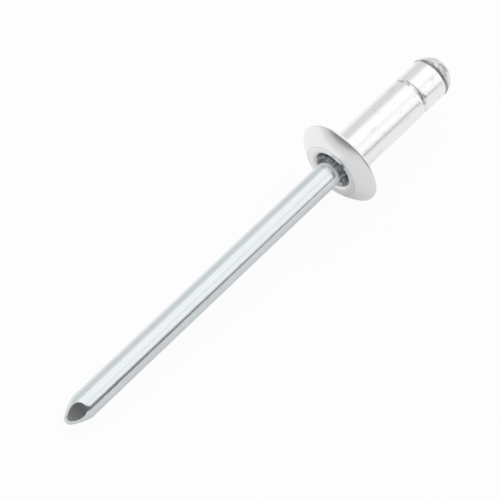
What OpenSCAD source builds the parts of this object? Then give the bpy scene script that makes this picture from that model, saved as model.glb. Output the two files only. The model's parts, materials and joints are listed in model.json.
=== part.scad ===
// Blind rivet as it is sold: a hollow dome-head body threaded on its pull mandrel.
// Both pieces are drawn upright along Z, with the flange seat at zero, and then laid on the ground
// on the flange rim and the mandrel's point. All lengths are in millimetres.

/* [Rivet body] */
// Outside diameter of the shank
shank_d = 4.8; // [4.4:0.1:6.4]
// Length of the shank from the flange seat to the blind end
shank_len = 15; // [8:0.5:30]
// Radius round the outside edge of the blind end
tail_round = 0.2; // [0.05:0.05:0.4]
// Gap all round between the bore and the mandrel stem
bore_clearance = 0.05; // [0.02:0.01:0.1]

/* [Flange] */
// Outside diameter of the flange
flange_d = 10.2; // [9:0.1:14]
// Height from the flange seat to the flat land on top of the dome
flange_h = 1.55; // [1.2:0.05:2.2]
// Radius of the rounded rim
rim_round = 0.15; // [0.05:0.05:0.3]
// Fillet between the flange seat and the shank
seat_fillet = 0.2; // [0.05:0.05:0.4]
// Outside diameter of the flat land round the mouth
land_d = 6.5; // [5.6:0.1:7.4]
// Diameter of the flared mouth where it opens in the land
mouth_d = 5; // [3.8:0.1:5.4]
// Depth of the flare, from the land down to the plain bore
mouth_depth = 1.1; // [0.5:0.1:2]

/* [Rolled groove] */
// Distance of the groove from the blind end
groove_from_tail = 3.5; // [2:0.1:6]
// Width of the groove at the surface of the shank
groove_w = 0.5; // [0.3:0.05:0.8]
// Depth of the groove
groove_depth = 0.22; // [0.1:0.02:0.4]
// Width of the ridge that rolling the groove raises inside the bore
ridge_w = 0.45; // [0.3:0.05:0.6]
// Height of that ridge, which holds the mandrel by its break neck
ridge_h = 0.12; // [0.06:0.02:0.18]

/* [Mandrel] */
// Diameter of the stem
stem_d = 2.9; // [2.4:0.05:3.2]
// Length of stem from the flange seat to its tip
stem_reach = 42.3; // [25:0.1:60]
// Diameter of the break neck, where the stem snaps
neck_d = 1.9; // [1.6:0.05:2.1]
// Width of the bottom of the break neck
neck_bottom = 0.2; // [0.1:0.05:0.4]
// Angle between the two flanks of the break neck, in degrees
neck_angle = 80; // [60:5:100]

/* [Mandrel head] */
// Diameter of the domed head at its underside
head_d = 4.95; // [4.2:0.05:6]
// Height of the head
head_h = 2.2; // [1.2:0.05:2.4]
// Radius round the lower edge of the head
head_round = 0.15; // [0.05:0.05:0.3]

/* [Pinched point] */
// Length of the round point that tapers the stem
point_len = 2.3; // [1.5:0.1:4]
// How far the side of the point bulges beyond a straight cone
point_bulge = 0.1; // [0.02:0.02:0.2]
// Diameter of the blunt tip
tip_d = 0.8; // [0.5:0.05:1.2]
// Length of each pinched flat, from the tip to where it runs out on the stem
flat_len = 2.5; // [2:0.1:5]
// Width across the two flats at the tip
flat_gap = 0.66; // [0.3:0.02:1]
// Turn of the flats about the rivet's own axis, from straight up, in degrees
flat_turn = 28; // [0:1:180]

/* [Hidden] */
$fn = 128;

// How far a cutting shape runs past the surface that it cuts
past = 1;

shank_r = shank_d / 2;
stem_r = stem_d / 2;
bore_r = stem_r + bore_clearance;
rim_r = flange_d / 2;
land_r = land_d / 2;
mouth_r = mouth_d / 2;
neck_r = neck_d / 2;
tip_r = tip_d / 2;
groove_z = shank_len - groove_from_tail;

// Radius of the arc that stands on a chord of width w and rises by h
function arc_r(w, h) = (w * w / 4 + h * h) / (2 * h);

// Dome of the flange: the sphere that passes through the land's edge and is tangent to the rim's
// round. Its centre lies on the axis, dome_z above the seat.
rim_c = [rim_r - rim_round, -rim_round];
dome_a = rim_round / (flange_h - rim_round);
dome_b = flange_h
       + (rim_c.x * rim_c.x - land_r * land_r - flange_h * flange_h) / (2 * (flange_h - rim_round));
dome_q = dome_b * dome_b + land_r * land_r;
dome_r = (dome_a * dome_b + sqrt(dome_a * dome_a * dome_b * dome_b + (1 - dome_a * dome_a) * dome_q))
       / (1 - dome_a * dome_a);
dome_z = dome_a * dome_r + dome_b - flange_h;
// Direction from the rim's round to the point where the dome touches it
rim_dir = [rim_c.x, rim_c.y - dome_z] / norm([rim_c.x, rim_c.y - dome_z]);

// Dome of the mandrel head: a spherical cap that stands on the blind end, with a rounded lower edge
crown_r = arc_r(head_d, head_h);
crown_z = shank_len + head_h - crown_r;
head_rise = shank_len + head_round - crown_z;
head_c = [sqrt(pow(crown_r - head_round, 2) - head_rise * head_rise), shank_len + head_round];
// Direction from that round to the point where the dome touches it
head_dir = [head_c.x, head_rise] / norm([head_c.x, head_rise]);

// Side of the point: an arc from the tip's edge to the shoulder, where the stem begins
shoulder = [stem_r, point_len - stem_reach];
side_run = shoulder - [tip_r, -stem_reach];
side_r = arc_r(norm(side_run), point_bulge);
side_c = shoulder - side_run / 2 - (side_r - point_bulge) * [side_run.y, -side_run.x] / norm(side_run);

// Slope of the flats against the axis
flat_slope = atan((stem_r - flat_gap / 2) / flat_len);

// Lying on the ground: a line tangent to the rim's round that passes through the point's shoulder
lean_run = rim_c.y - shoulder.y;
lean_rise = rim_c.x - shoulder.x;
lay_angle = atan(lean_rise / lean_run) + asin(rim_round / norm([lean_run, lean_rise]));
lay_z = shoulder.x * cos(lay_angle) - shoulder.y * sin(lay_angle);
reach_back = stem_reach * cos(lay_angle) + tip_r * sin(lay_angle);
reach_front = crown_z * cos(lay_angle) + crown_r;

// Puts an upright piece on the ground with its X side up, and the origin under the whole rivet's middle
module laid() {
  translate([(reach_back - reach_front) / 2, 0, lay_z])
    rotate([0, 90 - lay_angle, 0])
      rotate([0, 0, 180])
        children();
}

// Cutter that rounds an outside corner of a section: the round has its centre at c and the radius t,
// and it touches the corner's two sides in the directions a and b
module edge_cut(c, t, a, b) {
  translate(c) difference() {
    polygon([[0, 0], past * a, 2 * past * (a + b), past * b]);
    circle(t);
  }
}

// Section of the dome, from the land to the seat
module flange_section() {
  difference() {
    intersection() {
      translate([0, dome_z]) circle(dome_r);
      translate([0, -flange_h]) square([rim_r + past, flange_h]);
    }
    edge_cut(rim_c, rim_round, rim_dir, [0, 1]);
  }
}

// Section of the shank with its rounded tail and the fillet under the flange
module shank_section() {
  difference() {
    translate([0, -rim_round]) square([shank_r, shank_len + rim_round]);
    edge_cut([shank_r - tail_round, shank_len - tail_round], tail_round, [1, 0], [0, 1]);
    translate([shank_r - groove_depth + arc_r(groove_w, groove_depth), groove_z])
      circle(arc_r(groove_w, groove_depth));
  }
  difference() {
    translate([bore_r, -rim_round]) square([shank_r + seat_fillet - bore_r, seat_fillet + rim_round]);
    translate([shank_r + seat_fillet, seat_fillet]) circle(seat_fillet);
  }
}

// Section of everything that the bore and its flared mouth take away
module bore_section() {
  translate([0, -flange_h - past]) square([bore_r, flange_h + shank_len + 2 * past]);
  flare = (mouth_r - bore_r) / mouth_depth;
  polygon([
    [0, -flange_h - past],
    [mouth_r + flare * past, -flange_h - past],
    [bore_r, mouth_depth - flange_h],
    [0, mouth_depth - flange_h]
  ]);
}

module rivet_body() {
  color("gainsboro") laid() rotate_extrude() {
    difference() {
      union() {
        flange_section();
        shank_section();
      }
      bore_section();
    }
    translate([bore_r - ridge_h + arc_r(ridge_w, ridge_h), groove_z]) circle(arc_r(ridge_w, ridge_h));
  }
}

// Cutter that tapers a stem's section to the round point, before its flats
module point_cut() {
  difference() {
    translate([0, -stem_reach - past]) square([stem_r + past, point_len + 2 * past]);
    translate(side_c) circle(side_r);
  }
}

// Section of the stem, with its point and the break neck under the rolled groove
module stem_section() {
  flank = (stem_r - neck_r + past) * tan(neck_angle / 2);
  difference() {
    translate([0, -stem_reach]) square([stem_r, stem_reach + shank_len + head_round]);
    point_cut();
    translate([neck_r, groove_z]) polygon([
      [0, -neck_bottom / 2],
      [stem_r - neck_r + past, -neck_bottom / 2 - flank],
      [stem_r - neck_r + past, neck_bottom / 2 + flank],
      [0, neck_bottom / 2]
    ]);
  }
}

// Section of the head, which seats on the blind end of the body
module head_section() {
  difference() {
    intersection() {
      translate([0, crown_z]) circle(crown_r);
      translate([0, shank_len]) square([crown_r + past, head_h + past]);
    }
    edge_cut(head_c, head_round, head_dir, [0, -1]);
  }
}

// Cutter for one pinched flat, which leans away from the axis behind the tip
module flat_cut() {
  translate([flat_gap / 2, 0, -stem_reach])
    rotate([0, flat_slope, 0])
      translate([0, -stem_d, -past])
        cube([stem_d, 2 * stem_d, 2 * flat_len]);
}

module mandrel() {
  color("lightsteelblue") laid() difference() {
    rotate_extrude() {
      stem_section();
      head_section();
    }
    for (side = [0, 180]) rotate([0, 0, flat_turn + side]) flat_cut();
  }
}

rivet_body();
mandrel();
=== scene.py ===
# %% [markdown]
# This lesson dresses a blind rivet as it is sold: a hollow aluminium body with a domed flange, threaded
# on a zinc-plated steel mandrel. The imported model comes in first and stays put as the frame. Each piece
# below is modelled at its real size where that frame says, and then stands in for its plain solid. The
# box of the plain solids is kept and its size printed.

# %% Load the frame and keep its box
import json
import math

import bpy
from mathutils import Matrix, Vector


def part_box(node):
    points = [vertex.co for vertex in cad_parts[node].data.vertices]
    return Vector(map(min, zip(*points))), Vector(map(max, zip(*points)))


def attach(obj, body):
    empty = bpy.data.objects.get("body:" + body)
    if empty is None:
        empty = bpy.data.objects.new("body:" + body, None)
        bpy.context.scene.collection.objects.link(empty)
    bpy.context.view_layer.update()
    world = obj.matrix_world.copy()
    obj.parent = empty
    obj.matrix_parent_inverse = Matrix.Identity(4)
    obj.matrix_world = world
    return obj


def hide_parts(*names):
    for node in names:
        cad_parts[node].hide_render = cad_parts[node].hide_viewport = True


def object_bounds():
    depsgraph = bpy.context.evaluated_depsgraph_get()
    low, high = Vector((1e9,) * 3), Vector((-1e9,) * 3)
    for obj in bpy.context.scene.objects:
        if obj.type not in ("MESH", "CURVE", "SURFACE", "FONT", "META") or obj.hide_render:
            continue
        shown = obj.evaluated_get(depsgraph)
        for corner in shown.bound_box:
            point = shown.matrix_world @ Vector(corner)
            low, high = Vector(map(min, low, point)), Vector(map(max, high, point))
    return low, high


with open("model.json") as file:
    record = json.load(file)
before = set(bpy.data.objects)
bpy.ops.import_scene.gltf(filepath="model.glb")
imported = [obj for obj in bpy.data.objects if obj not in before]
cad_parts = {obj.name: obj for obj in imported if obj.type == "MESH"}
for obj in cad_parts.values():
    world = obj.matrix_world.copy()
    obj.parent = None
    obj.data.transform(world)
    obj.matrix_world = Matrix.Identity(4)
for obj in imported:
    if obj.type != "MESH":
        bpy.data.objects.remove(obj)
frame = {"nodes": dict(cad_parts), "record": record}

mm = 0.001
cad_box = [list(corner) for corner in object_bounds()]
cad_size = [round((high - low) / mm, 2) for low, high in zip(*cad_box)]
print("solids:", sorted(frame["nodes"]), "in a box of", cad_size, "mm")

# %% [markdown]
# The rivet lies on its flange rim and on the shoulder of the mandrel's point, so its axis leans a few
# degrees off the ground. The pieces could be drawn on that leaning axis, but turned pieces are far easier
# to draw on a straight one. So they are modelled along X, counted from the flange seat, and laid down at
# the end. The record's mounts give the axis, the seat and the main radii, and the solids themselves say
# how far each piece reaches.

# %% Where the rivet lies and how far it reaches
mounts = {mount["name"]: mount for mount in frame["record"]["mounts"]}
axis = Vector(mounts["shank"]["axis"])
on_shank = Vector(mounts["shank"]["pos_m"])
on_seat = Vector(mounts["flange_seat"]["pos_m"])
seat = on_shank + axis * (on_seat - on_shank).dot(axis)
lay_turn = (0, -math.asin(axis.z), 0)


def reach(node):
    """Where a solid starts and ends along the rivet's axis, counted from the flange seat."""
    places = [(vertex.co - seat).dot(axis) for vertex in frame["nodes"][node].data.vertices]
    return min(places), max(places)


land_x, blind_end = reach("rivet_body")
tip_x, crown_x = reach("mandrel")
shank_r = mounts["shank"]["dims"]["r_mm"] * mm
stem_r = mounts["mandrel_stem"]["dims"]["r_mm"] * mm
body_low, body_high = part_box("rivet_body")
flange_r = (body_high.y - body_low.y) / 2
print("axis leans", round(math.degrees(-lay_turn[1]), 2), "degrees; tip, land, blind end and crown at",
      [round(x / mm, 2) for x in (tip_x, land_x, blind_end, crown_x)], "mm")

# %% [markdown]
# Both pieces are round about one axis, so each is half a section spun once round, as on a lathe. The
# section could be typed in as a list of points. Drawing it with a pen says more: a straight stretch is
# an extruded vertex, and a rounded one is that vertex spun about the round's own centre, so each arc is
# tangent where the real tool left it tangent. The pen starts from a plane merged into a single vertex.

# %% A pen that draws a section, and the lathe that spins it
round_steps = 160
weld = 1e-4 * mm


class Section:
    """Half a section in the XZ plane, drawn in edit mode from one point to the next."""

    def __init__(self, name, x, r):
        bpy.ops.object.select_all(action="DESELECT")
        bpy.ops.mesh.primitive_plane_add(size=mm, location=(0, 0, 0))
        self.piece = bpy.context.object
        self.piece.name = self.piece.data.name = name
        bpy.ops.object.mode_set(mode="EDIT")
        bpy.ops.mesh.select_mode(type="VERT")
        bpy.ops.mesh.merge(type="CENTER")
        self.pen = Vector((0, 0, 0))
        bpy.ops.transform.translate(value=self.move(x, r))

    def move(self, x, r):
        """Takes the pen to a place along the axis and a distance from it, and gives the step."""
        step = Vector((x, 0, r)) - self.pen
        self.pen = Vector((x, 0, r))
        return step

    def line(self, x, r):
        """A straight stretch to a place along the axis and a distance from it."""
        bpy.ops.mesh.extrude_vertices_move(TRANSFORM_OT_translate={"value": self.move(x, r)})

    def arc(self, centre, turn, steps):
        """A round stretch about a centre, by an angle that turns the axis towards the radius."""
        middle = Vector((centre[0], 0, centre[1]))
        bpy.ops.mesh.spin(steps=steps, angle=-turn, center=middle, axis=(0, -1, 0))
        self.pen = middle + Matrix.Rotation(turn, 3, (0, -1, 0)) @ (self.pen - middle)

    def close(self):
        """Joins the section's end to its start, where it goes round a hollow piece."""
        bpy.ops.object.mode_set(mode="OBJECT")
        mesh = self.piece.data
        uses = [0] * len(mesh.vertices)
        for edge in mesh.edges:
            for corner in edge.vertices:
                uses[corner] += 1
        for vertex in mesh.vertices:
            vertex.select = uses[vertex.index] == 1
        bpy.ops.object.mode_set(mode="EDIT")
        bpy.ops.mesh.edge_face_add()

    def turned(self):
        """The section spun once round the axis, as a closed skin that faces outwards."""
        bpy.ops.mesh.select_all(action="SELECT")
        bpy.ops.mesh.spin(steps=round_steps, angle=2 * math.pi, center=(0, 0, 0), axis=(1, 0, 0))
        bpy.ops.mesh.select_all(action="SELECT")
        bpy.ops.mesh.remove_doubles(threshold=weld)
        bpy.ops.mesh.normals_make_consistent(inside=False)
        bpy.ops.object.mode_set(mode="OBJECT")
        return self.piece


def arc_of(width, height):
    """Radius and half angle of the arc that stands on a chord of a width and rises by a height."""
    radius = (width * width / 4 + height * height) / (2 * height)
    return radius, math.asin(width / 2 / radius)


print("a turned piece has", round_steps, "steps round the axis")

# %% [markdown]
# A sharp corner takes no light on its edge, and no real corner is that sharp. A Bevel modifier could
# soften every corner at once, but it would also touch the small edges of the arcs. So the corners that
# the dies leave are softened ring by ring: the edges of a ring are found by their place, and bevelled.

# %% Softened rings
def soften_rings(piece, rings, width, segments=3):
    """Bevels the rings of edges at the given places along the axis and distances from it."""
    bpy.ops.object.mode_set(mode="EDIT")
    bpy.ops.mesh.select_mode(type="EDGE")
    bpy.ops.mesh.select_all(action="DESELECT")
    bpy.ops.object.mode_set(mode="OBJECT")
    points = piece.data.vertices
    for edge in piece.data.edges:
        ends = [points[corner].co for corner in edge.vertices]
        edge.select = any(
            all(abs(p.x - x) < weld and abs(math.hypot(p.y, p.z) - r) < weld for p in ends)
            for x, r in rings
        )
    bpy.ops.object.mode_set(mode="EDIT")
    bpy.ops.mesh.bevel(offset=width, segments=segments, profile=0.5, affect="EDGES", clamp_overlap=True)
    bpy.ops.object.mode_set(mode="OBJECT")
    print(piece.name, "has", len(rings), "more soft ring(s), now", len(piece.data.polygons), "faces")


print("rings of edges are found to within", weld / mm, "mm")

# %% [markdown]
# The rivet body is cold-headed and drawn from one slug of aluminium. Going round its section: a flared
# mouth, a flat land, the dome, the rolled rim, the seat that bears on the sheet, a small fillet, the
# shank with one rolled groove, the rounded tail and the bore, with the ridge that the groove raises
# inside. It could be put together from a disc and a tube, but the joints would show, so it is one section.
# The dome is part of a sphere that passes through the land's edge and touches the rim's round, and those
# two conditions give its radius and its centre.

# %% Sizes of the rivet body
land_r = 3.25 * mm
mouth_r = 2.5 * mm
mouth_depth = 1.1 * mm
bore_gap = 0.05 * mm
bore_r = stem_r + bore_gap
rim_round = 0.15 * mm
seat_fillet = 0.2 * mm
tail_round = 0.2 * mm
groove_from_tail = 3.5 * mm
groove_x = blind_end - groove_from_tail
groove_w = 0.5 * mm
groove_depth = 0.22 * mm
groove_r, groove_half = arc_of(groove_w, groove_depth)
ridge_w = 0.45 * mm
ridge_h = 0.12 * mm
ridge_r, ridge_half = arc_of(ridge_w, ridge_h)
print("bore", round(2 * bore_r / mm, 2), "mm; groove", round(groove_x / mm, 2), "mm from the seat")

# %% The dome between the land and the rim
rim_x, rim_r = -rim_round, flange_r - rim_round
share = rim_round / (-land_x - rim_round)
offset = -land_x + (rim_r**2 - land_r**2 - land_x**2) / (2 * (-land_x - rim_round))
root = math.sqrt((share * offset) ** 2 + (1 - share**2) * (offset**2 + land_r**2))
dome_r = (share * offset + root) / (1 - share**2)
dome_x = share * dome_r + offset + land_x
land_angle = math.atan2(land_r, land_x - dome_x)
rim_angle = math.atan2(rim_r, rim_x - dome_x)
print("dome radius", round(dome_r / mm, 2), "mm")

# %% [markdown]
# The heading punch leaves a fine line round the land. It could be painted in the finish alone, but a line
# that is really there catches the light by itself, so it is a shallow notch before the dome starts; the
# satin finish further down also paints shade along it. A long straight stretch gets one more point near
# each end, which keeps the smooth shading of its corners from leaking along it.

# %% The body's section, drawn and turned
hold = 0.3 * mm
notch_w = 0.14 * mm
notch_depth = 0.045 * mm
notch_r = land_r - notch_w / 2
dome_start = land_angle - notch_w / 2 / dome_r
groove_start, groove_end = groove_x - groove_w / 2, groove_x + groove_w / 2
tail_start = blind_end - tail_round

section = Section("dome_head_body", land_x + mouth_depth, bore_r)
section.line(land_x, mouth_r)
section.line(land_x, notch_r)
section.line(land_x + notch_depth, land_r)
section.line(dome_x + dome_r * math.cos(dome_start), dome_r * math.sin(dome_start))
section.arc((dome_x, 0), rim_angle - dome_start, steps=20)
section.arc((rim_x, rim_r), -rim_angle, steps=8)
section.line(0, shank_r + seat_fillet)
section.arc((seat_fillet, shank_r + seat_fillet), math.pi / 2, steps=6)
section.line(seat_fillet + hold, shank_r)
section.line(groove_start - hold, shank_r)
section.line(groove_start, shank_r)
section.arc((groove_x, shank_r - groove_depth + groove_r), 2 * groove_half, steps=10)
section.line(groove_end + hold, shank_r)
section.line(tail_start - hold, shank_r)
section.line(tail_start, shank_r)
section.arc((tail_start, shank_r - tail_round), -math.pi / 2, steps=6)
section.line(blind_end, bore_r)
section.line(groove_x + ridge_w / 2, bore_r)
section.arc((groove_x, bore_r - ridge_h + ridge_r), -2 * ridge_half, steps=8)
section.close()
body = section.turned()
print(body.name, "has", len(body.data.polygons), "faces")

# %% The body's softened rings
mouth_soft = 0.25 * mm
throat_soft = 0.2 * mm
fine_soft = 0.05 * mm
soften_rings(body, [(land_x, mouth_r)], mouth_soft, segments=5)
soften_rings(body, [(land_x, notch_r)], fine_soft)
soften_rings(body, [(land_x + mouth_depth, bore_r)], throat_soft)
soften_rings(body, [(groove_start, shank_r), (groove_end, shank_r)], fine_soft)

# %% [markdown]
# The mandrel is headed from one length of wire. A cutter pinched off its point, which left a blunt tip
# and a side that bulges a little. A cylinder with a cone and a dome set on its ends would do from afar,
# but its corners would all be hard. So it is one more section, and the bulging side is one of its arcs.

# %% Sizes of the mandrel
point_len = 2.3 * mm
point_bulge = 0.1 * mm
tip_r = 0.4 * mm
neck_r = 0.95 * mm
neck_bottom = 0.2 * mm
neck_half_angle = math.radians(40)
neck_flank = (stem_r - neck_r) * math.tan(neck_half_angle)
head_r = 2.475 * mm
head_round = 0.15 * mm
crown_r = arc_of(2 * head_r, crown_x - blind_end)[0]
crown_c = crown_x - crown_r
edge_x = blind_end + head_round
edge_r = math.sqrt((crown_r - head_round) ** 2 - (edge_x - crown_c) ** 2)
edge_angle = math.atan2(edge_r, edge_x - crown_c)
side_w = math.hypot(point_len, stem_r - tip_r)
side_r, side_half = arc_of(side_w, point_bulge)
side_far = (side_r - point_bulge) / side_w
side_c = (tip_x + point_len / 2 + side_far * (stem_r - tip_r),
          (tip_r + stem_r) / 2 - side_far * point_len)
print("crown radius", round(crown_r / mm, 2), "mm; neck", round(2 * neck_r / mm, 2), "mm across")

# %% The mandrel's section, drawn, turned and softened
tip_soft = 0.18 * mm
shoulder_soft = 0.15 * mm
shoulder_x = tip_x + point_len
neck_start, neck_end = groove_x - neck_bottom / 2, groove_x + neck_bottom / 2

section = Section("pull_mandrel", tip_x, 0)
section.line(tip_x, tip_r)
section.arc(side_c, -2 * side_half, steps=12)
section.line(shoulder_x + hold, stem_r)
section.line(neck_start - neck_flank - hold, stem_r)
section.line(neck_start - neck_flank, stem_r)
section.line(neck_start, neck_r)
section.line(neck_end, neck_r)
section.line(neck_end + neck_flank, stem_r)
section.line(blind_end, stem_r)
section.line(blind_end, edge_r)
section.arc((edge_x, edge_r), edge_angle - math.pi, steps=6)
section.arc((crown_c, 0), -edge_angle, steps=24)
mandrel = section.turned()
soften_rings(mandrel, [(tip_x, tip_r)], tip_soft, segments=5)
soften_rings(mandrel, [(shoulder_x, stem_r)], shoulder_soft, segments=4)

# %% [markdown]
# The cutter's two round jaws bit a shallow hollow into each side of the point. A plane would cut a flat
# that runs out in a long ellipse, but here the hollow is widest near its blunt upper end. So each jaw is
# a cylinder across the stem, and a Boolean modifier takes it away from the point.

# %% Two pinches on the point
pinch_turn = math.radians(28)
pinch_way = (0, -math.sin(pinch_turn), math.cos(pinch_turn))
pinch_x = tip_x + 0.13 * mm
pinch_r = 2.735 * mm
pinch_left = 0.52 * mm
pinch_far = pinch_r + pinch_left
jaw_len = 4 * stem_r
for side in (1, -1):
    bpy.ops.object.select_all(action="DESELECT")
    middle = (pinch_x, side * pinch_way[1] * pinch_far, side * pinch_way[2] * pinch_far)
    bpy.ops.mesh.primitive_cylinder_add(vertices=round_steps, radius=pinch_r, depth=jaw_len,
                                        location=middle, rotation=(pinch_turn - math.pi / 2, 0, 0))
    jaw = bpy.context.object
    pinch = mandrel.modifiers.new("pinch", "BOOLEAN")
    pinch.operation = "DIFFERENCE"
    pinch.solver = "EXACT"
    pinch.object = jaw
    bpy.context.view_layer.objects.active = mandrel
    bpy.ops.object.modifier_apply(modifier="pinch")
    bpy.ops.object.delete()
print("two pinches leave", round(2 * pinch_left / mm, 2), "mm between them")

# %% [markdown]
# A cold-forged head is never a clean dome: the die leaves it dented and uneven. Bump in the finish could
# fake the dents, but the outline would stay perfect. So a Displace modifier moves the head's points along
# their normals by a cloud texture, and only inwards, so that the head keeps its size. A vertex group keeps
# the modifier off the stem and off the very top.

# %% Dents in the forged head
dent_depth = 0.05 * mm
dent_scale = 0.9 * mm
dents_end = crown_x - 0.02 * mm


def pick(piece):
    """Selects one piece alone and makes it the active one, for the next operator."""
    bpy.ops.object.select_all(action="DESELECT")
    piece.select_set(True)
    bpy.context.view_layer.objects.active = piece


forged_points = [v.index for v in mandrel.data.vertices if edge_x < v.co.x < dents_end]
mandrel.vertex_groups.new(name="forged_head").add(forged_points, 1.0, "REPLACE")
dents = bpy.data.textures.new("forging_dents", "CLOUDS")
dents.noise_scale = dent_scale
displace = mandrel.modifiers.new("dents", "DISPLACE")
displace.texture = dents
displace.texture_coords = "LOCAL"
displace.vertex_group = "forged_head"
displace.mid_level = 1.0
displace.strength = dent_depth
pick(mandrel)
bpy.ops.object.modifier_apply(modifier="dents")
print(len(forged_points), "points of the head moved inwards by up to", dent_depth / mm, "mm")

# %% [markdown]
# Each piece is now shaded smooth, but only across edges that bend a little, because a corner that is
# shaded smooth looks swollen. Then it is laid down. It could stay a turned object, but a pattern on its
# own coordinates would then turn with it. So the turn and the place go into the mesh, the object sits at
# the origin as a plain solid does, and it is tied to the frame.

# %% Lay both pieces down
crease = math.radians(20)


def lay_down(piece, node):
    """Shades a finished piece, lays it where the frame says and lets it stand for its solid."""
    pick(piece)
    bpy.ops.object.shade_smooth_by_angle(angle=crease)
    piece.location = seat
    piece.rotation_euler = lay_turn
    bpy.ops.object.transform_apply(location=True, rotation=True, scale=True)
    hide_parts(node)
    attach(piece, "root")
    print(piece.name, "has", len(piece.data.polygons), "faces and stands for", node)


lay_down(body, "rivet_body")
lay_down(mandrel, "mandrel")

# %% [markdown]
# A finish is a tree of nodes. Wiring nodes by hand hides the sums in them, so numbers on the surface are
# wrapped in a small class: plain arithmetic on them adds the Math nodes. Every other node comes from one
# method, which takes the node's type, its settings and what goes into its sockets.

# %% Numbers on a surface, and trees of nodes
class Number:
    """A value that changes over a surface. Arithmetic on it adds Math nodes to its tree."""

    def __init__(self, socket):
        self.socket = socket

    def math(self, operation, first, second):
        tree = self.socket.id_data
        node = tree.nodes.new("ShaderNodeMath")
        node.operation = operation
        for slot, value in zip(node.inputs, (first, second)):
            if isinstance(value, Number):
                tree.links.new(value.socket, slot)
            else:
                slot.default_value = value
        return Number(node.outputs[0])

    def __add__(self, other):
        return self.math("ADD", self, other)

    def __sub__(self, other):
        return self.math("SUBTRACT", self, other)

    def __rsub__(self, other):
        return self.math("SUBTRACT", other, self)

    def __mul__(self, other):
        return self.math("MULTIPLY", self, other)

    def __abs__(self):
        return self.math("ABSOLUTE", self, 0.0)

    __radd__ = __add__
    __rmul__ = __mul__


class Tree:
    """The nodes of one material or of the world."""

    def __init__(self, owner):
        owner.use_nodes = True
        self.tree = owner.node_tree
        self.tree.nodes.clear()

    def node(self, kind, settings, sockets, output=0):
        """Adds a node of a type, sets its settings first, fills its sockets and gives one output."""
        node = self.tree.nodes.new("ShaderNode" + kind)
        for name, value in settings.items():
            setattr(node, name, value)
        for name, value in sockets.items():
            slot = node.inputs[name] if isinstance(name, int) else next(
                s for s in node.inputs if s.name == name and s.enabled)
            if isinstance(value, Number):
                self.tree.links.new(value.socket, slot)
            else:
                slot.default_value = value
        return Number(node.outputs[output]) if node.outputs else node

    def count(self):
        return len(self.tree.nodes)


print("a sum of numbers on a surface adds its own Math nodes")

# %% [markdown]
# A finish has to know where on the rivet it is: on the shank, in the mouth or on the head. Vertex colours
# could say so, but they are only as fine as the mesh. So the place is worked out in the tree: a Mapping
# node undoes the lay and turns metres into millimetres, counted from the flange seat.

# %% Places on the rivet
def place_on_rivet(tree):
    """The place on the surface in millimetres, along the rivet's axis and across it."""
    spot = tree.node("TexCoord", {}, {}, "Object")
    return tree.node("Mapping", {"vector_type": "TEXTURE"},
                     {"Vector": spot, "Location": seat, "Rotation": lay_turn, "Scale": (mm, mm, mm)})


def part(tree, vector, letter):
    """One part of a place or a direction, X, Y or Z."""
    return tree.node("SeparateXYZ", {}, {"Vector": vector}, letter)


def times(tree, first, second):
    """Two places or directions multiplied part by part."""
    return tree.node("VectorMath", {"operation": "MULTIPLY"}, {0: first, 1: second})


def dot(tree, first, second):
    """How far a place or a direction reaches along another."""
    return tree.node("VectorMath", {"operation": "DOT_PRODUCT"}, {0: first, 1: second}, "Value")


def length(tree, vector):
    """How long a vector is."""
    return tree.node("VectorMath", {"operation": "LENGTH"}, {0: vector}, "Value")


print("a finish measures the surface in millimetres from the flange seat")

# %% Noise, steps, colours between two, and bare metal
relief = 0.004 * mm


def noise(tree, place, waves, detail=2.0):
    """Soft noise from about 0 to 1, with so many waves to the millimetre along each axis."""
    stretched = times(tree, place, waves)
    return tree.node("TexNoise", {}, {"Vector": stretched, "Scale": 1.0, "Detail": detail})


def ramp(tree, value, low, high):
    """A smooth step of a value from 0 at low to 1 at high."""
    return tree.node("MapRange", {"interpolation_type": "SMOOTHSTEP"},
                     {"Value": value, "From Min": low, "From Max": high})


def blend(tree, amount, first, second):
    """A colour between two."""
    return tree.node("Mix", {"data_type": "RGBA"}, {"Factor": amount, "A": first, "B": second}, 2)


def bare_metal(tree, colour, rough, height, strength):
    """Ends a tree in bare metal of a colour and a roughness, with a fine relief."""
    normal = tree.node("Bump", {}, {"Strength": strength, "Distance": relief, "Height": height})
    metal = tree.node("BsdfPrincipled", {}, {
        "Base Color": colour, "Metallic": 1.0, "Roughness": rough, "Normal": normal})
    tree.node("OutputMaterial", {}, {"Surface": metal})


print("the relief of bare metal is", relief / mm, "mm")

# %% [markdown]
# Aluminium of a rivet is bright but not polished. The dies leave a fine satin grain, the draw leaves
# faint lines along the shank, and tumbling in a bin of rivets leaves small marks. The mouth, the groove
# and the land's notch get painted shade, a darker colour where shade falls in them, broken up by noise.
# One grey with one roughness would look painted, so the finish is built up as on the real body: first
# where each of these lies, then the noise that breaks it up.

# %% Where the aluminium differs
satin = bpy.data.materials.new("satin_aluminium")
tree = Tree(satin)
place = place_on_rivet(tree)
along = part(tree, place, "X")
across = length(tree, times(tree, place, (0, 1, 1)))

# Where each part fades in or out, in millimetres along the axis, off it or from a line
shank_start = (0.0, 0.4)
mouth_wall, mouth_end = (2.2, 2.38), (0.0, 1.0)
notch_side, land_end = (0.02, 0.12), (-1.4, -1.2)
groove_side, groove_floor = (0.08, 0.25), (1.9, 2.1)

drawn_part = ramp(tree, along, *shank_start)
# The mouth's recess, which gets painted shade further down
hollow = (1 - ramp(tree, across, *mouth_wall)) * (1 - ramp(tree, along, *mouth_end))
from_notch = abs(across - land_r / mm)
# The land's notch, which gets painted shade further down
notch = (1 - ramp(tree, from_notch, *notch_side)) * (1 - ramp(tree, along, *land_end))
from_groove = abs(along - groove_x / mm)
# The groove's floor, which gets painted shade further down
in_groove = (1 - ramp(tree, from_groove, *groove_side)) * ramp(tree, across, *groove_floor)
print(satin.name, "knows the shank, the mouth, the land's notch and the groove")
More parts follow.
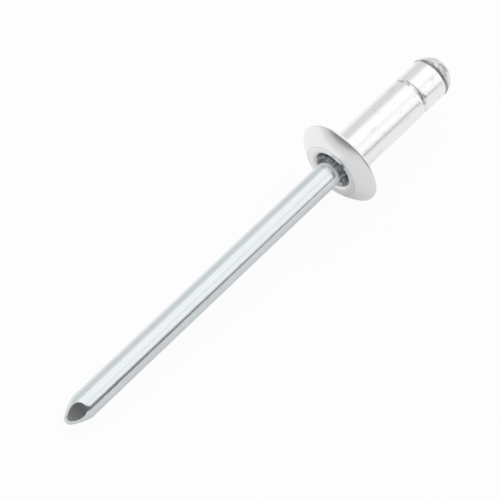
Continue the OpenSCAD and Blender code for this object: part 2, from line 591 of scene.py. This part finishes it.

# %% Grain, lines, marks, and noise that breaks up the painted shade
clouds = noise(tree, place, waves=(0.6, 0.9, 0.9), detail=4.0)
grain = noise(tree, place, waves=(10.0, 10.0, 10.0))
drawn = noise(tree, place, waves=(0.15, 6.0, 6.0), detail=3.0) * drawn_part
knocks = noise(tree, place, waves=(0.9, 2.6, 2.6), detail=4.0)
marks = ramp(tree, knocks, 0.58, 0.7) * drawn_part
# Noise that breaks up the painted shade in the mouth and the groove
shade_noise = noise(tree, place, waves=(1.2, 1.6, 1.6), detail=3.0)
shade_breakup = ramp(tree, shade_noise, 0.44, 0.64)
print(satin.name, "has", tree.count(), "nodes before its colours")

# %% Bright satin aluminium
cloudy, clear = (0.88, 0.88, 0.888, 1), (0.94, 0.94, 0.94, 1)
mark_grey = (0.66, 0.665, 0.67, 1)
# Painted shade for the mouth's recess, from near black to grey
deep_mouth_shade, pale_mouth_shade = (0.11, 0.115, 0.125, 1), (0.55, 0.55, 0.56, 1)
# Painted shade for the groove
groove_painted_shade = (0.3, 0.3, 0.31, 1)
# Painted shade for the land's notch
notch_painted_shade = (0.5, 0.5, 0.51, 1)

colour = blend(tree, clouds * 0.6 + drawn * 0.4, cloudy, clear)
colour = blend(tree, marks * 0.45, colour, mark_grey)
# Painted shade in the mouth's recess: near black where the noise is low, grey where it is high
colour = blend(tree, hollow * 0.9, colour, blend(tree, shade_breakup, deep_mouth_shade, pale_mouth_shade))
# Painted shade in the groove, broken up by the same noise as the mouth's
colour = blend(tree, in_groove * (1 - shade_breakup) * 0.7, colour, groove_painted_shade)
# Painted shade along the land's notch
colour = blend(tree, notch * 0.35, colour, notch_painted_shade)
rough = 0.17 + clouds * 0.1 + marks * 0.1 + hollow * 0.12
height = drawn * 0.5 + grain * 0.25 - marks * 0.6 + clouds * 0.8
bare_metal(tree, colour, rough, height, strength=0.6)
body.data.materials.append(satin)
print(satin.name, "has", tree.count(), "nodes")

# %% [markdown]
# Zinc plate over drawn wire is bluer than the aluminium, and smoother. The stem keeps the draw's lines
# under the plate and wavers a little, and the forged head is duller and mottled. Where the head sits on
# the blind end, a dark band of painted shade stands for the shade in the gap between the parts. The two
# pinches show the dark dull grain of the cut. They could be a material of their own on their faces, but
# the plate thins out over their edges. So they are found by their distance from the jaws' own axes.

# %% Where the zinc differs
zinc = bpy.data.materials.new("bright_zinc")
tree = Tree(zinc)
place = place_on_rivet(tree)
along = part(tree, place, "X")

head_start = blind_end / mm
jaw_mm = pinch_r / mm
forged = ramp(tree, along, head_start - 0.05, head_start + 0.1)
# The head's rim just past the blind end, where painted shade stands for the shade of the gap between the
# parts
under_head = 1 - ramp(tree, along, head_start + 0.1, head_start + 0.32)
from_middle = abs(dot(tree, place, pinch_way))
from_jaw = tree.node("CombineXYZ", {}, {"X": along - pinch_x / mm, "Y": pinch_far / mm - from_middle})
pinched = 1 - ramp(tree, length(tree, from_jaw), jaw_mm + 0.005, jaw_mm + 0.03)
print(zinc.name, "knows the head, the seam under it and the two pinches")

# %% Lines, wavers, specks and mottle
clouds = noise(tree, place, waves=(0.5, 1.4, 1.4), detail=4.0)
lines = noise(tree, place, waves=(0.12, 7.0, 7.0), detail=3.0)
wavers = noise(tree, place, waves=(0.6, 1.1, 1.1), detail=3.0)
specks = ramp(tree, noise(tree, place, waves=(3.5, 6.0, 6.0), detail=3.0), 0.62, 0.72)
mottle = noise(tree, place, waves=(1.3, 1.3, 1.3), detail=4.0)
torn = noise(tree, place, waves=(4.0, 4.0, 4.0), detail=3.0)
# Painted shade along that rim, broken up by noise
seam = under_head * ramp(tree, noise(tree, place, waves=(0.7, 0.7, 0.7)), 0.34, 0.56)
print(zinc.name, "has", tree.count(), "nodes before its colours")

# %% Bright zinc over drawn wire
blue_plate, bright_plate = (0.68, 0.73, 0.76, 1), (0.85, 0.88, 0.89, 1)
speck_grey = (0.5, 0.53, 0.55, 1)
dull_grey, dull_bright = (0.47, 0.475, 0.48, 1), (0.85, 0.855, 0.86, 1)
# Painted shade for the gap under the head
seam_painted_shade = (0.14, 0.14, 0.145, 1)
cut_dark, cut_light = (0.17, 0.17, 0.172, 1), (0.28, 0.28, 0.282, 1)

plate = blend(tree, clouds * 0.5 + lines * 0.5, blue_plate, bright_plate)
plate = blend(tree, specks * 0.4, plate, speck_grey)
dull = blend(tree, ramp(tree, mottle, 0.38, 0.62), dull_grey, dull_bright)
# Painted shade where the head meets the blind end
dull = blend(tree, seam * 0.85, dull, seam_painted_shade)
colour = blend(tree, forged, plate, dull)
colour = blend(tree, pinched, colour, blend(tree, torn, cut_dark, cut_light))
rough = 0.14 + clouds * 0.08 + forged * 0.16 + pinched * 0.3
height = (lines * 0.35 + wavers * 4.2 - specks * 0.2) * (1 - forged) + mottle * forged * 4.0
bare_metal(tree, colour, rough, height, strength=0.7)
mandrel.data.materials.append(zinc)
print(zinc.name, "has", tree.count(), "nodes")

# %% [markdown]
# The floor is a plain white sheet. A strong lamp could burn it white, but it would burn the metal too.
# So most of what the camera sees of the sheet is set to white, and the rest is lit as paper is, which
# keeps a soft shadow under the rivet. The metal sees that white as well, but less of it on the near side
# of the stem and away from the shank: there the sheet carries painted shade, as over a sheet that is lit
# from the far side and from beyond the flange, and only the metal's reflections show it.

# %% The floor
floor_size = 8
floor_drop = 0.01 * mm
far_start, far_end = -2 * mm, 12 * mm
shank_from, shank_to = 15 * mm, 20 * mm
paper_grey = (0.85, 0.85, 0.85, 1)
set_white = 0.94

bpy.ops.object.select_all(action="DESELECT")
bpy.ops.mesh.primitive_plane_add(size=floor_size, location=(0, 0, -floor_drop))
floor = bpy.context.object
floor.name = "floor"
paper = bpy.data.materials.new("white_paper")
tree = Tree(paper)


def ray(kind):
    """1 where the sheet is met by a ray of a kind, and 0 elsewhere."""
    return tree.node("LightPath", {}, {}, "Is " + kind + " Ray")


spot = tree.node("TexCoord", {}, {}, "Object")
# Painted shade: the white that the metal mirrors fades on the near side of the stem, less beside the shank
far_side = ramp(tree, part(tree, spot, "Y"), far_start, far_end)
by_shank = ramp(tree, part(tree, spot, "X"), shank_from, shank_to)
dim = (1 - far_side) * (1 - by_shank * 0.7)
seen = ray("Camera") + (ray("Glossy") + ray("Transmission")) * (1 - dim * 0.75)
lit = tree.node("BsdfDiffuse", {}, {"Color": paper_grey})
white = tree.node("Emission", {}, {"Color": (1, 1, 1, 1), "Strength": 1.0})
mixed = tree.node("MixShader", {}, {"Fac": seen * set_white, 1: lit, 2: white})
tree.node("OutputMaterial", {}, {"Surface": mixed})
floor.data.materials.append(paper)
print(paper.name, "has", tree.count(), "nodes")

# %% [markdown]
# Metal shows its surroundings more than its own colour, so the room is planned as carefully as the
# finish. A lamp near the rivet would show as a patch that moves along the stem. So the soft light is a
# wide bright part of the room itself, far away: two panels with a faint seam, whose edges run along the
# rivet, one soft and one hard.
# The rest of the room is pale. It is dark in two places only: behind the camera, which darkens the upper
# rim of the flange's dome, and in a narrow band under the bright part, which draws the dark line along
# the stem.

# %% Parts of the room
room = bpy.data.worlds.new("room")
bpy.context.scene.world = room
tree = Tree(room)
way = tree.node("TexCoord", {}, {}, "Generated")
rise = part(tree, way, "Z")


def toward(direction):
    """How far a direction of the room points the given way, from -1 to 1."""
    return dot(tree, way, direction)


def round_axis(degrees):
    """The direction that stands off the rivet's axis at an angle round it, from straight up."""
    angle = math.radians(degrees)
    return (-axis.z * math.cos(angle), math.sin(angle), axis.x * math.cos(angle))


band_normal = (0.732, 0.466, 0.496)
panel_side, panel_seam = round_axis(-52), round_axis(60)
near_side = (0, -1, 0)
behind_camera = (-0.966, -0.259, 0)

over_band = toward(band_normal)
bright = ramp(tree, over_band, -0.03, 0.05) * ramp(tree, toward(panel_side), -0.15, 0.25)
between = 1 - ramp(tree, abs(toward(panel_seam)), 0.04, 0.2)
band = (1 - ramp(tree, over_band, -0.04, 0.04)) * ramp(tree, toward(near_side), 0.5, 0.7)
over_head = ramp(tree, rise, 0.5, 0.62)
behind = ramp(tree, toward(behind_camera), 0.2, 0.45) * ramp(tree, rise, 0.21, 0.27) * (1 - over_head)
band_end = ramp(tree, toward(axis), 0.3, 0.46)
print("the room has", tree.count(), "nodes before its levels")

# %% The room's levels of light
panel_level, seam_level = (1.11, 1.11, 1.11, 1), (0.98, 0.98, 0.98, 1)
room_level = (0.75, 0.755, 0.765, 1)
behind_level = (0.22, 0.22, 0.225, 1)
band_level, band_end_level = (0.17, 0.17, 0.18, 1), (0.42, 0.42, 0.43, 1)

level = blend(tree, bright, room_level, blend(tree, between, panel_level, seam_level))
level = blend(tree, behind, level, behind_level)
level = blend(tree, band, level, blend(tree, band_end, band_level, band_end_level))
sky = tree.node("Background", {}, {"Color": level, "Strength": 1.0})
tree.node("OutputWorld", {}, {"Surface": sky})
print("the room has", tree.count(), "nodes")

# %% [markdown]
# The camera looks down on the rivet from the mandrel's side, a hand's width away, through a long lens.
# Its place could be typed in as three coordinates. Counting it from the flange, which is right of the
# middle of the picture and above it, says what the picture is of.

# %% The camera
camera_azimuth = math.radians(-48.1)
camera_elevation = math.radians(50.5)
camera_distance = 260 * mm
flange_right = 9.62 * mm
flange_up = 9.30 * mm
focal_length = 174.5
nearest_seen = 10 * mm

lens = bpy.data.cameras.new("camera")
lens.lens = focal_length
lens.clip_start = nearest_seen
camera = bpy.data.objects.new("camera", lens)
bpy.context.scene.collection.objects.link(camera)
camera.rotation_euler = (math.pi / 2 - camera_elevation, 0, camera_azimuth)
turn = camera.rotation_euler.to_matrix()
camera.location = seat - axis * rim_round - turn @ Vector((flange_right, flange_up, -camera_distance))
bpy.context.scene.camera = camera
bpy.context.scene.view_settings.view_transform = "Standard"
print("camera at", [round(x / mm, 1) for x in camera.location], "mm")

# %% [markdown]
# Dressing a rivet must not change its size, and a look at the render would not show a tenth of a
# millimetre. The last cell prints the plain solids' box once more.

# %% The box of the plain solids, once more
print(body.name, "and", mandrel.name, "are held against a box of", cad_size, "mm")
